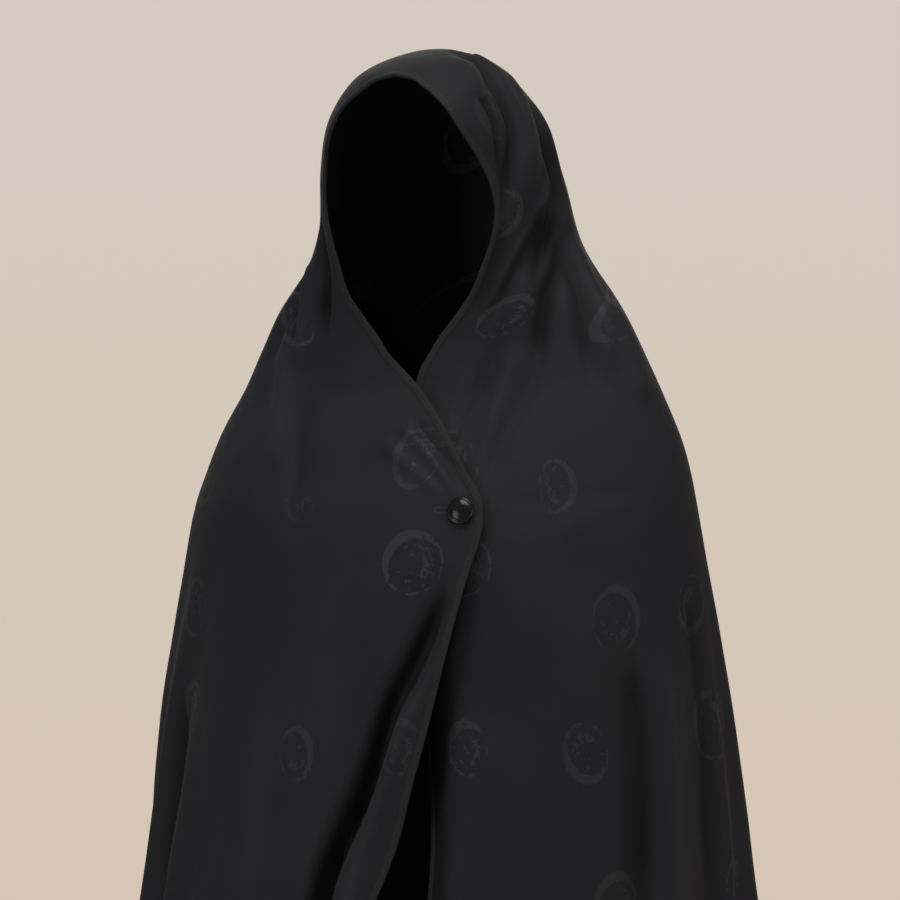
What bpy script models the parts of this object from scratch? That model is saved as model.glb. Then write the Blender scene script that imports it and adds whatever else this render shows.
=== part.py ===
# A chador: one sheet of cloth worn over the head, closed at the chest by a button in a buttonhole.
# Metres, +Z up. The wearer faces -Y with the left side at +X. The origin is inside the hood's top.
import math

import bmesh
import bpy
import numpy as np
from mathutils import Matrix, Vector
from mathutils.bvhtree import BVHTree

# Driving dimensions. Drops are measured down from the origin, reaches forward or back from it.
CLOTH_THICKNESS = 0.0016
FOREHEAD_DROP = 0.0305
FOREHEAD_REACH = 0.074
EAR_DROP = 0.150
NAPE_DROP = 0.088
CHEEK_REACH = 0.0465
NAPE_REACH = 0.108
HOOD_WIDTH = 0.207
SHOULDER_DROP = 0.379
SHOULDER_WIDTH = 0.442
CHEST_REACH = 0.103
BACK_REACH = 0.146
CLOAK_LENGTH = 1.56
HEM_WIDTH = 0.760
HEM_FRONT_REACH = 0.238
HEM_BACK_REACH = 0.298
FACE_WIDTH = 0.151
NECKLINE_DROP = 0.279
NECKLINE_SIDE = 0.0095
LAP_DROP = 0.388
LAP_REACH = 0.093
UNDER_REACH = 0.060
HEM_REACH = 0.130
LAP_GAP = 0.0048
FOLD_DEPTH = 0.012
FOLD_WIDTH = 0.012
HANG_DEPTH = 0.028
BUTTON_DIAMETER = 0.022
BUTTON_THICKNESS = 0.0052
BUTTON_INSET = 0.017
BUTTON_RISE = 0.006
SHANK_DIAMETER = 0.0026
BUTTONHOLE_LENGTH = 0.023
BUTTONHOLE_HEIGHT = 0.0038
SEAT_GAP = 0.0003

# Mesh fineness.
COLUMNS = 80
HOOD_ROWS = 18
HOOD_ROW_EASE = 1.35
BODY_ROWS = 12
BUTTON_SIDES = 20
FOLD_SAMPLES = 32
RUN_SAMPLES = 400
NORMAL_STEP = 0.0001
GATHER_WIDTH = 0.002
HALF_WIDTH_SLACK = 1.02
MERGE_DISTANCE = 0.00001
THREAD_SIDES = 12

# Turns in radians over which the fronts come together, and over which the upper one rises.
LAP_MEETS = 0.12
LAP_BLEND = 0.25
COLLAR_SHARE = 0.3
RIM_BACK = 0.24

# Levels where the named sizes are measured: the hoop's front drop and reach, back drop and
# reach, and width. Every hoop of cloth between two levels is a share of the way between them.
LEVELS = {
    "forehead": (FOREHEAD_DROP, FOREHEAD_REACH, FOREHEAD_DROP, -FOREHEAD_REACH, GATHER_WIDTH),
    "ears": (EAR_DROP, CHEEK_REACH, NAPE_DROP, NAPE_REACH, HOOD_WIDTH),
    "shoulders": (SHOULDER_DROP, CHEST_REACH, SHOULDER_DROP, BACK_REACH, SHOULDER_WIDTH),
    "hem": (CLOAK_LENGTH, HEM_FRONT_REACH, CLOAK_LENGTH, HEM_BACK_REACH, HEM_WIDTH),
}
# from level, to level, then the shares: front drop, front reach, back drop, back reach, width
HOOPS = [
    ("forehead", "ears", 0.00, 0.00, 0.00, 0.00, 0.00),
    ("forehead", "ears", 0.06, -0.03, -0.30, 0.18, 0.27),
    ("forehead", "ears", 0.16, -0.10, -0.47, 0.37, 0.48),
    ("forehead", "ears", 0.35, -0.03, -0.37, 0.63, 0.70),
    ("forehead", "ears", 0.64, 0.60, 0.11, 0.88, 0.90),
    ("ears", "shoulders", 0.00, 0.00, 0.00, 0.00, 0.00),
    ("ears", "shoulders", 0.175, -0.03, 0.21, -0.13, 0.14),
    ("ears", "shoulders", 0.335, -0.035, 0.42, -0.21, 0.43),
    ("ears", "shoulders", 0.44, 0.01, 0.555, 0.00, 0.57),
    ("ears", "shoulders", 0.57, 0.17, 0.675, 0.26, 0.70),
    ("ears", "shoulders", 0.74, 0.56, 0.81, 0.63, 0.86),
    ("shoulders", "hem", 0.00, 0.00, 0.00, 0.00, 0.00),
    ("shoulders", "hem", 0.06, 0.125, 0.06, 0.09, 0.07),
    ("shoulders", "hem", 0.145, 0.235, 0.145, 0.17, 0.17),
    ("shoulders", "hem", 0.275, 0.365, 0.275, 0.29, 0.265),
    ("shoulders", "hem", 0.485, 0.555, 0.485, 0.49, 0.49),
    ("shoulders", "hem", 0.74, 0.78, 0.74, 0.74, 0.735),
    ("shoulders", "hem", 1.00, 1.00, 1.00, 1.00, 1.00),
]
# Edges of the face opening: share of the drop from forehead to neckline, and how far each edge
# stands to its side, as a share of half the face width. The over flap is on the wearer's right.
FACE_EDGE = [
    (0.00, 0.00, 0.00),
    (0.014, 0.20, 0.20),
    (0.036, 0.34, 0.33),
    (0.062, 0.46, 0.45),
    (0.09, 0.57, 0.555),
    (0.12, 0.66, 0.645),
    (0.165, 0.755, 0.74),
    (0.28, 0.93, 0.92),
    (0.43, 1.00, 1.02),
    (0.54, 0.94, 0.955),
    (0.61, 0.865, 0.87),
    (0.71, 0.745, 0.72),
    (0.795, 0.53, 0.51),
    (0.84, 0.405, 0.39),
    (0.90, 0.25, 0.27),
]
# Edges from the neckline to the lap: share of that drop, then the over flap's share of the way
# to the lap's reach, and the under panel's share of its own reach.
LAP_EDGE = [
    (0.00, 0.00, 0.00),
    (0.36, 0.45, 0.18),
    (0.67, 0.76, 0.45),
    (0.86, 0.95, 0.56),
]
# Edges from the lap to the hem: share of that drop, then the over flap's share of the way from
# the lap's reach to its place at the hem, and the under panel's share of its own reach.
FALL_EDGE = [
    (0.00, 0.00, 0.60),
    (0.04, 0.04, 0.64),
    (0.10, 0.10, 0.72),
    (0.157, 0.16, 0.84),
    (0.22, 0.25, 1.00),
    (0.27, 0.355, 0.97),
    (0.48, 0.64, 1.10),
    (0.735, 0.865, 1.00),
    (1.00, 1.00, 1.00),
]
# Folds that run down from the head to the chest, each through three places given as a turn in
# degrees from the front towards the wearer's right, and a drop as a share of the shoulder drop.
# Height is a share of the fold depth, below zero for a groove. Spread is a share of its width.
FOLD_COLUMNS = (
    "name", "turn_1", "drop_1", "turn_2", "drop_2", "turn_3", "drop_3", "height", "spread",
)
FOLDS = [
    ("temple_groove", -75, 0.11, -70, 0.20, -52, 0.38, -0.35, 0.6),
    ("crown_groove", -119, 0.06, -84, 0.16, -52, 0.36, -0.50, 0.7),
    ("ear_groove", -100, 0.15, -80, 0.32, -51, 0.46, -0.55, 0.7),
    ("cheek_groove", -75, 0.36, -38, 0.54, -11, 0.80, -0.60, 0.8),
    ("nape_groove", -100, 0.21, -95, 0.36, -51, 0.56, -1.00, 1.1),
    ("neck_ridge_left", -94, 0.39, -75, 0.53, -53, 0.67, 0.50, 1.6),
    ("side_groove", -93, 0.435, -72, 0.57, -61, 0.69, -0.80, 1.2),
    ("shoulder_ridge", -83, 0.54, -77, 0.69, -75, 0.79, 0.40, 1.5),
    ("neck_groove_right", 60, 0.38, 44, 0.50, 26, 0.66, -1.10, 1.2),
    ("neck_ridge_right", 66, 0.435, 45, 0.61, 20, 0.92, 0.60, 1.2),
    ("jaw_ridge", 43, 0.465, 30, 0.555, 21, 0.635, 0.30, 0.8),
    ("throat_groove", 68, 0.47, 60, 0.58, 54, 0.71, -0.50, 1.6),
    ("breast_ridge", 57, 0.545, 43, 0.715, 33, 0.845, 0.45, 1.4),
    ("breast_groove", 33, 0.74, 25, 0.92, 20, 1.055, -0.40, 1.6),
    ("pull_crease", 2, 0.82, -7, 0.87, -14, 0.92, 0.30, 0.8),
    ("collar_ridge", -22, 0.645, -19, 0.69, -15, 0.73, 0.40, 0.9),
    ("collar_groove", -20, 0.69, -17, 0.74, -14, 0.785, -0.40, 0.9),
    ("chest_ridge", -24, 0.70, -23.5, 0.83, -22.5, 0.965, 0.35, 1.2),
    ("chest_groove", -26, 0.795, -25, 0.885, -24, 0.98, -0.40, 0.9),
    ("flap_ridge", -19.5, 1.17, -11, 1.45, -1, 1.84, 0.80, 1.0),
    ("flap_valley", -15, 1.22, -6, 1.49, 5, 1.84, -0.90, 1.1),
]
# Folds that hang to the hem beside the front opening: share of the way round from the over
# flap's edge to the under panel's, how far out the cloth stands there as a share of the depth,
# and the drop where the fold starts as a share of the length.
RIGHT_HANGS = [
    (0.0, 0.25, 0.47),
    (0.025, -0.9, 0.47),
    (0.0625, 0.2, 0.40),
    (0.1, 0.6, 0.27),
    (0.125, -0.8, 0.27),
    (0.15, 0.7, 0.27),
]
LEFT_HANGS = [
    (0.85, 0.7, 0.27),
    (0.8875, -0.8, 0.27),
    (0.9375, 0.3, 0.36),
    (0.975, -0.3, 0.47),
    (1.0, 0.3, 0.47),
]
# The folds between them, round the sides and back: how many, how deep, how uneven, and where
# they start.
BACK_HANGS = 13
BACK_HANG_OUT = 0.75
BACK_HANG_UNEVEN = 0.2
BACK_HANG_START = 0.25
# How far along a fold it rises to its full height, and from how far on it fades.
FOLD_RISE = 0.20
FOLD_FADE = 0.33


def smooth_through(places, values, wanted):
    # Values of a smooth curve through the given rows, at the wanted places.
    steps = np.diff(places)[:, None]
    slopes = np.diff(values, axis=0) / steps
    middle = (slopes[:-1] * steps[1:] + slopes[1:] * steps[:-1]) / (steps[:-1] + steps[1:])
    tangents = np.vstack([slopes[:1], middle, slopes[-1:]])
    span = np.clip(np.searchsorted(places, wanted, side="right") - 1, 0, len(places) - 2)
    width = (places[span + 1] - places[span])[..., None]
    t = (wanted - places[span])[..., None] / width
    ahead = t * t * (3 - 2 * t)
    leave = t * (1 - t) * (1 - t) * width
    arrive = t * t * (t - 1) * width
    ends = values[span] * (1 - ahead) + values[span + 1] * ahead
    return ends + tangents[span] * leave + tangents[span + 1] * arrive


def ease(x):
    x = np.clip(x, 0.0, 1.0)
    return x * x * (3.0 - 2.0 * x)


def hoop_sizes():
    rows = []
    for start_level, end_level, *shares in HOOPS:
        start = np.array(LEVELS[start_level])
        end = np.array(LEVELS[end_level])
        rows.append(start + np.array(shares) * (end - start))
    return np.array(rows)


def hoop_places(hoops):
    # Length down the cloth at each hoop, the mean of its front and back run.
    steps = np.diff(hoops, axis=0)
    front = np.sqrt(steps[:, 0] ** 2 + steps[:, 1] ** 2 + (steps[:, 4] / 4) ** 2)
    back = np.sqrt(steps[:, 2] ** 2 + steps[:, 3] ** 2)
    return np.concatenate([[0.0], np.cumsum((front + back) / 2)])


def edge_rows():
    # Drop, then where the over flap and the under panel end; +X is the wearer's left.
    rows = []
    for drop, over, under in FACE_EDGE:
        down = FOREHEAD_DROP + drop * (NECKLINE_DROP - FOREHEAD_DROP)
        rows.append((down, -over * FACE_WIDTH / 2, under * FACE_WIDTH / 2))
    for drop, over, under in LAP_EDGE:
        down = NECKLINE_DROP + drop * (LAP_DROP - NECKLINE_DROP)
        over_side = NECKLINE_SIDE + over * (LAP_REACH - NECKLINE_SIDE)
        under_side = NECKLINE_SIDE + under * (UNDER_REACH - NECKLINE_SIDE)
        rows.append((down, over_side, under_side))
    for drop, over, under in FALL_EDGE:
        down = LAP_DROP + drop * (CLOAK_LENGTH - LAP_DROP)
        rows.append((down, LAP_REACH - over * (LAP_REACH + HEM_REACH), under * UNDER_REACH))
    return np.array(rows)


HOOP_SIZES = hoop_sizes()
HOOP_PLACES = hoop_places(HOOP_SIZES)
EDGE_ROWS = edge_rows()


def hoop_at(run):
    # Sizes of the hoop at a length down the cloth, its half width, and the turns of its ends.
    sizes = smooth_through(HOOP_PLACES, HOOP_SIZES, run)
    sides = smooth_through(EDGE_ROWS[:, 0], EDGE_ROWS[:, 1:], sizes[..., 0])
    half = np.maximum(sizes[..., 4] / 2, HALF_WIDTH_SLACK * np.abs(sides).max(axis=-1))
    start = -np.arcsin(sides[..., 0] / half)
    end = 2 * math.pi - np.arcsin(sides[..., 1] / half)
    return sizes, half, start, end



def bare_point(turn, run):
    # Point of the smooth cloth at a turn from the front towards the wearer's right.
    sizes, half, start, _ = hoop_at(run)
    reach = 1 + np.cos(start)
    swing = 1 + np.cos(turn)
    x = -half * np.sin(turn)
    y = sizes[..., 3] - (sizes[..., 3] + sizes[..., 1]) / reach * swing
    z = -sizes[..., 2] - (sizes[..., 0] - sizes[..., 2]) / reach * swing
    return np.stack([x, y, z], axis=-1)


def outward(turn, run):
    across = bare_point(turn + NORMAL_STEP, run) - bare_point(turn - NORMAL_STEP, run)
    down = bare_point(turn, run + NORMAL_STEP) - bare_point(turn, run - NORMAL_STEP)
    normal = np.cross(across, down)
    return normal / np.maximum(np.linalg.norm(normal, axis=-1, keepdims=True), 1e-12)


def lap_shares(turn, run):
    # How fully each point belongs to the over flap, and to the under panel, where they overlap.
    _, _, over_end, end = hoop_at(run)
    under_end = end - 2 * math.pi
    meets = ease((under_end - over_end + LAP_MEETS) / LAP_MEETS)
    over = ease((under_end + LAP_BLEND - turn) / LAP_BLEND)
    under = ease((turn - 2 * math.pi - over_end + LAP_BLEND) / LAP_BLEND)
    return meets * np.where(turn < math.pi, over, 0), meets * np.where(turn < math.pi, 0, under)


def lap_lift(lift, over, under):
    # The flap rises and the panel sinks, and no fold takes either of them through the other.
    lift = lift * (1 - over - under) + np.maximum(lift, 0) * over + np.minimum(lift, 0) * under
    return lift + LAP_GAP / 2 * (over - under)


def fold_path(fold):
    # Points on the smooth cloth along a curve through the fold's three places.
    t = np.linspace(0, 1, FOLD_SAMPLES)
    first = 2 * (t - 0.5) * (t - 1)
    second = 4 * t * (1 - t)
    third = 2 * t * (t - 0.5)
    turns = np.radians(first * fold["turn_1"] + second * fold["turn_2"] + third * fold["turn_3"])
    drops = first * fold["drop_1"] + second * fold["drop_2"] + third * fold["drop_3"]
    runs = np.linspace(0, HOOP_PLACES[-1], RUN_SAMPLES)
    path = []
    for turn, drop in zip(turns, drops * SHOULDER_DROP):
        heights = bare_point(np.full(RUN_SAMPLES, turn), runs)[:, 2]
        last = np.nonzero(heights[:-1] >= min(-drop, heights[:-1].max()))[0].max()
        path.append(bare_point(np.array([turn]), runs[last:last + 1])[0])
    return np.array(path), t


def fold_lift(points):
    lift = np.zeros(points.shape[:-1])
    for row in FOLDS:
        fold = dict(zip(FOLD_COLUMNS, row))
        path, t = fold_path(fold)
        apart = np.linalg.norm(points[..., None, :] - path, axis=-1)
        nearest = apart.argmin(axis=-1)
        fade = ease(t[nearest] / FOLD_RISE) * ease((1 - t[nearest]) / FOLD_FADE)
        across = apart.min(axis=-1) / (fold["spread"] * FOLD_WIDTH)
        lift += fold["height"] * FOLD_DEPTH * fade * np.exp(-across * across)
    return lift


def hang_crests():
    # Crests and valleys of the hanging folds, in order round the cloth.
    rows = list(RIGHT_HANGS)
    pitch = (LEFT_HANGS[0][0] - RIGHT_HANGS[-1][0]) / (BACK_HANGS + 1)
    for i in range(BACK_HANGS + 1):
        valley = RIGHT_HANGS[-1][0] + (i + 0.5) * pitch
        valley_out = -BACK_HANG_OUT - BACK_HANG_UNEVEN * math.cos(1.7 * i)
        crest_out = BACK_HANG_OUT + BACK_HANG_UNEVEN * math.sin(2.4 * i)
        rows.append((valley, valley_out, BACK_HANG_START))
        if i < BACK_HANGS:
            rows.append((valley + pitch / 2, crest_out, BACK_HANG_START))
    return np.array(rows + LEFT_HANGS)


def hang_lift(share, drop):
    crests = hang_crests()
    span = np.clip(np.searchsorted(crests[:, 0], share, side="right") - 1, 0, len(crests) - 2)
    way = ease((share - crests[span, 0]) / (crests[span + 1, 0] - crests[span, 0]))[..., None]
    out, start = np.moveaxis(crests[span, 1:] * (1 - way) + crests[span + 1, 1:] * way, -1, 0)
    fade = np.clip((drop / CLOAK_LENGTH - start) / (1 - start), 0, 1)
    return HANG_DEPTH * out * fade


def draped_point(share, run):
    _, _, start, end = hoop_at(run)
    turn = start + share * (end - start)
    bare = bare_point(turn, run)
    lift = fold_lift(bare) + hang_lift(share, -bare[..., 2])
    lift = lap_lift(lift, *lap_shares(turn, run))
    return bare + outward(turn, run) * lift[..., None]


def add_object(name, mesh, collection, material=None):
    obj = bpy.data.objects.new(name, mesh)
    collection.objects.link(obj)
    if material:
        mesh.materials.append(material)
    return obj


def make_material(name, colour, roughness):
    material = bpy.data.materials.new(name)
    material.use_nodes = True
    shader = material.node_tree.nodes["Principled BSDF"]
    shader.inputs["Base Color"].default_value = (*colour, 1.0)
    shader.inputs["Roughness"].default_value = roughness
    shader.inputs["Metallic"].default_value = 0.0
    return material


def make_cloak_sheet():
    # A grid whose first row gathers to a point at the middle of the forehead.
    shoulders = HOOP_PLACES[[row[:2] for row in HOOPS].index(("shoulders", "hem"))]
    hood_runs = shoulders * np.linspace(0, 1, HOOD_ROWS + 1) ** HOOD_ROW_EASE
    body_runs = np.linspace(shoulders, HOOP_PLACES[-1], BODY_ROWS + 1)
    runs = np.concatenate([hood_runs, body_runs[1:]])
    shares = np.linspace(0, 1, COLUMNS + 1)
    share_grid, run_grid = np.meshgrid(shares, runs)
    points = draped_point(share_grid, run_grid).reshape(-1, 3)
    sheet = bmesh.new()
    bmesh.ops.create_grid(sheet, x_segments=COLUMNS, y_segments=len(runs) - 1, size=1)
    sheet.verts.ensure_lookup_table()
    for vertex, point in zip(sheet.verts, points):
        vertex.co = point
    bmesh.ops.reverse_faces(sheet, faces=sheet.faces)
    forehead = sheet.verts[:COLUMNS + 1]
    bmesh.ops.pointmerge(sheet, verts=forehead, merge_co=Vector((0, -FOREHEAD_REACH, -FOREHEAD_DROP)))
    return sheet


def seat_directions(axis):
    level = Vector((0, 0, 1)).cross(axis).normalized()
    if level.x < 0:
        level.negate()
    return level, axis.cross(level)


def find_button_seat(sheet):
    # The over flap's point under the button, its outward axis, the under panel behind it, and
    # how far the button's back stands above the flap to clear the cloth's curve.
    layers = BVHTree.FromBMesh(sheet)
    ahead = Vector((LAP_REACH - BUTTON_INSET, -1.0, BUTTON_RISE - LAP_DROP))
    flap, axis, _, _ = layers.ray_cast(ahead, Vector((0, 1, 0)))
    if axis.y > 0:
        axis.negate()
    panel, _, _, _ = layers.ray_cast(flap - axis * CLOTH_THICKNESS / 2, -axis)
    level, upright = seat_directions(axis)
    stand = 0.0
    for radius, back in ((COLLAR_SHARE, 0.0), (1.0, RIM_BACK * BUTTON_THICKNESS)):
        for i in range(BUTTON_SIDES):
            turn = 2 * math.pi * i / BUTTON_SIDES
            aside = (level * math.cos(turn) + upright * math.sin(turn)) * radius * BUTTON_DIAMETER / 2
            _, _, _, far = layers.ray_cast(flap + aside + axis * BUTTON_DIAMETER, -axis)
            stand = max(stand, BUTTON_DIAMETER - far - back)
    return flap, axis, panel, stand + CLOTH_THICKNESS / 2 + SEAT_GAP


def make_cloak(sheet, collection, material):
    mesh = bpy.data.meshes.new("cloak")
    sheet.to_mesh(mesh)
    mesh.shade_smooth()
    cloak = add_object("cloak", mesh, collection, material)
    wall = cloak.modifiers.new("cloth wall", "SOLIDIFY")
    wall.thickness = CLOTH_THICKNESS
    wall.offset = 0
    return cloak


def place(obj, centre, axis):
    # Z along the button's axis, X level and towards the edge of the flap.
    level, upright = seat_directions(axis)
    obj.matrix_world = Matrix.Translation(centre) @ Matrix((level, upright, axis)).transposed().to_4x4()


def cut_buttonhole(cloak, flap, axis, cutters):
    block = bmesh.new()
    bmesh.ops.create_cube(block, size=1)
    # The button sits at the end of the slot that is nearest the flap's edge.
    along = SHANK_DIAMETER - BUTTONHOLE_LENGTH / 2
    size = Vector((BUTTONHOLE_LENGTH, BUTTONHOLE_HEIGHT, LAP_GAP))
    bmesh.ops.scale(block, vec=size, verts=block.verts)
    bmesh.ops.translate(block, vec=Vector((along, 0, 0)), verts=block.verts)
    mesh = bpy.data.meshes.new("buttonhole_cutter")
    block.to_mesh(mesh)
    block.free()
    cutter = add_object("buttonhole_cutter", mesh, cutters)
    place(cutter, flap, axis)
    cutter.hide_render = True
    cutter.display_type = "WIRE"
    slot = cloak.modifiers.new("buttonhole", "BOOLEAN")
    slot.operation = "DIFFERENCE"
    slot.object = cutter


def make_button(flap, axis, stand, collection, material):
    # A domed face in a rounded rim, with a short collar behind it round the thread.
    radius = BUTTON_DIAMETER / 2
    high = BUTTON_THICKNESS
    profile = [
        (0.0, high),
        (0.35 * radius, 0.96 * high),
        (0.60 * radius, 0.82 * high),
        (0.74 * radius, 0.66 * high),
        (0.84 * radius, 0.72 * high),
        (0.94 * radius, 0.62 * high),
        (radius, 0.42 * high),
        (0.94 * radius, RIM_BACK * high),
        (COLLAR_SHARE * radius, RIM_BACK * high),
        (COLLAR_SHARE * radius, 0.0),
        (0.0, 0.0),
    ]
    mesh = bpy.data.meshes.new("button")
    points = [(x, 0.0, z) for x, z in profile]
    mesh.from_pydata(points, [(i, i + 1) for i in range(len(points) - 1)], [])
    button = add_object("button", mesh, collection, material)
    turned = button.modifiers.new("turned", "SCREW")
    turned.steps = BUTTON_SIDES
    turned.render_steps = BUTTON_SIDES
    turned.use_merge_vertices = True
    turned.merge_threshold = MERGE_DISTANCE
    place(button, flap + axis * stand, axis)


def make_thread(flap, axis, panel, stand, collection, material):
    # The thread shank stands on the under panel and passes through the buttonhole.
    foot = CLOTH_THICKNESS / 2 + SEAT_GAP
    long = (flap - panel).length + stand - foot - SEAT_GAP
    thread = bmesh.new()
    bmesh.ops.create_cone(
        thread, cap_ends=True, segments=THREAD_SIDES,
        radius1=SHANK_DIAMETER / 2, radius2=SHANK_DIAMETER / 2, depth=long,
    )
    bmesh.ops.translate(thread, vec=Vector((0, 0, long / 2)), verts=thread.verts)
    mesh = bpy.data.meshes.new("button_thread")
    thread.to_mesh(mesh)
    thread.free()
    shank = add_object("button_thread", mesh, collection, material)
    place(shank, panel + axis * foot, axis)


def main():
    for obj in list(bpy.data.objects):
        bpy.data.objects.remove(obj, do_unlink=True)
    chador = bpy.data.collections.new("chador")
    cutters = bpy.data.collections.new("cutters")
    bpy.context.scene.collection.children.link(chador)
    bpy.context.scene.collection.children.link(cutters)
    crepe = make_material("black_crepe", (0.017, 0.017, 0.019), 0.82)
    plastic = make_material("black_plastic", (0.006, 0.006, 0.007), 0.12)
    cotton = make_material("black_cotton", (0.015, 0.015, 0.016), 0.75)
    sheet = make_cloak_sheet()
    flap, axis, panel, stand = find_button_seat(sheet)
    cloak = make_cloak(sheet, chador, crepe)
    sheet.free()
    cut_buttonhole(cloak, flap, axis, cutters)
    make_button(flap, axis, stand, chador, plastic)
    make_thread(flap, axis, panel, stand, chador, cotton)


main()
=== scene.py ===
import math
import random

import bmesh
import bpy
import numpy as np
from mathutils import Matrix, Vector, noise
from mathutils.bvhtree import BVHTree
from mathutils.kdtree import KDTree


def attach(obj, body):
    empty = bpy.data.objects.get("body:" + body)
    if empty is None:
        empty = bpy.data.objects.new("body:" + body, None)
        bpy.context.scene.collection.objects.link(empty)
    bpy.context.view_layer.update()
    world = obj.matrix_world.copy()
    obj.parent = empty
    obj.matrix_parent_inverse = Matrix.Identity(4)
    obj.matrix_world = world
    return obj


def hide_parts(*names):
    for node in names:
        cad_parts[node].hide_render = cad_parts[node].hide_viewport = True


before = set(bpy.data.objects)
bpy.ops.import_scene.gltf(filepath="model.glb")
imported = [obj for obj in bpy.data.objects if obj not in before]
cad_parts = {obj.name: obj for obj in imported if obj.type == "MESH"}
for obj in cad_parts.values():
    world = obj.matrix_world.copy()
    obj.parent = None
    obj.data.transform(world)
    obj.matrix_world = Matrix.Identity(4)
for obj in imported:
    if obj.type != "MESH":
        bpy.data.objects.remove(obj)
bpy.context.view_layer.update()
random.seed(7)
print("frame is in")


def clearSelection():
    if bpy.context.object and bpy.context.object.mode != "OBJECT":
        bpy.ops.object.mode_set(mode="OBJECT")
    bpy.ops.object.select_all(action="DESELECT")


def nameNew(name):
    obj = bpy.context.object
    obj.name = name
    obj.data.name = name
    return obj


def pickOnly(obj):
    clearSelection()
    obj.select_set(True)
    bpy.context.view_layer.objects.active = obj


def smoothShade(obj, angle):
    pickOnly(obj)
    bpy.ops.object.shade_smooth_by_angle(angle=math.radians(angle))


def easeIn(x):
    x = np.clip(x, 0.0, 1.0)
    return x * x * (3.0 - 2.0 * x)


# ---- camera and light come first, so that every piece is judged in them

view = {
    "turn": 25, "distance": 2.8, "across": 0.01358, "height": -0.3336,
    "frameWidth": 900 / 1208, "sensor": 36,
}


def setCamera():
    turn = math.radians(view["turn"])
    right = Vector((math.cos(turn), math.sin(turn), 0))
    ahead = Vector((-math.sin(turn), math.cos(turn), 0))
    aim = right * view["across"] + Vector((0, 0, view["height"]))
    bpy.ops.object.camera_add(
        location=aim - ahead * view["distance"], rotation=(math.radians(90), 0, turn)
    )
    camera = nameNew("frontCamera")
    camera.data.sensor_width = view["sensor"]
    camera.data.lens = view["sensor"] * view["distance"] / view["frameWidth"]
    bpy.context.scene.camera = camera
    return right, ahead


studio = {
    "wall": (0.665, 0.591, 0.521), "wallLow": (0.672, 0.560, 0.450), "floor": (0.62, 0.57, 0.51),
    "topPower": 51, "keyPower": 25, "fillPower": 27, "backPower": 26, "roomLight": 0.24,
    "floorHeight": -1.60, "floorRadius": 3.2,
}


def addSoftbox(name, place, aim, width, height, power, colour):
    bpy.ops.object.light_add(type="AREA", location=place)
    lamp = nameNew(name)
    lamp.data.shape = "RECTANGLE"
    lamp.data.size = width
    lamp.data.size_y = height
    lamp.data.energy = power
    lamp.data.color = colour
    lamp.rotation_euler = (Vector(aim) - Vector(place)).to_track_quat("-Z", "Y").to_euler()
    return lamp


def setStudio(right, ahead):
    world = bpy.data.worlds.new("paleRoom")
    bpy.context.scene.world = world
    world.use_nodes = True
    nodes, links = world.node_tree.nodes, world.node_tree.links
    where = nodes.new("ShaderNodeTexCoord")
    split = nodes.new("ShaderNodeSeparateXYZ")
    ramp = nodes.new("ShaderNodeValToRGB")
    ramp.color_ramp.elements[0].position = 0.42
    ramp.color_ramp.elements[0].color = (*studio["wallLow"], 1)
    ramp.color_ramp.elements[1].position = 0.54
    ramp.color_ramp.elements[1].color = (*studio["wall"], 1)
    shift = nodes.new("ShaderNodeMath")
    shift.operation = "MULTIPLY_ADD"
    shift.inputs[1].default_value = 0.5
    shift.inputs[2].default_value = 0.5
    links.new(where.outputs["Generated"], split.inputs[0])
    links.new(split.outputs["Z"], shift.inputs[0])
    links.new(shift.outputs[0], ramp.inputs[0])
    links.new(ramp.outputs[0], nodes["Background"].inputs["Color"])
    # the wall is seen pale and lights the cloth dimly
    seen = nodes.new("ShaderNodeLightPath")
    bright = nodes.new("ShaderNodeMapRange")
    bright.inputs["To Min"].default_value = studio["roomLight"]
    links.new(seen.outputs["Is Camera Ray"], bright.inputs["Value"])
    links.new(bright.outputs[0], nodes["Background"].inputs["Strength"])
    chest = Vector((0, 0, -0.35))
    warm = (1.0, 0.97, 0.94)
    cool = (0.97, 0.98, 1.0)
    addSoftbox("topLight", chest + Vector((0, 0.1, 2.3)) - ahead * 0.9, chest, 1.8, 1.6,
               studio["topPower"], warm)
    addSoftbox("keyLight", chest + right * 2.3 - ahead * 1.9 + Vector((0, 0, -0.1)), chest, 1.2, 2.0,
               studio["keyPower"], warm)
    addSoftbox("fillLight", chest - right * 2.3 - ahead * 1.7 + Vector((0, 0, -0.2)), chest, 1.2, 2.0,
               studio["fillPower"], cool)
    addSoftbox("backLight", chest + ahead * 2.4 + Vector((0, 0, 1.2)), chest, 2.0, 1.6,
               studio["backPower"], warm)
    clearSelection()
    bpy.ops.mesh.primitive_circle_add(vertices=96, radius=studio["floorRadius"], fill_type="NGON",
                                      location=(0, 0, studio["floorHeight"]))
    floor = nameNew("floor")
    paint = bpy.data.materials.new("matteFloor")
    paint.use_nodes = True
    shader = paint.node_tree.nodes["Principled BSDF"]
    shader.inputs["Base Color"].default_value = (*studio["floor"], 1)
    shader.inputs["Roughness"].default_value = 0.85
    floor.data.materials.append(paint)


right, ahead = setCamera()
setStudio(right, ahead)
bpy.context.scene.view_settings.view_transform = "Standard"
print("camera and studio are set")

# ---- the cloth: one sheet over head and shoulders, its fronts lapped at the chest

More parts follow.
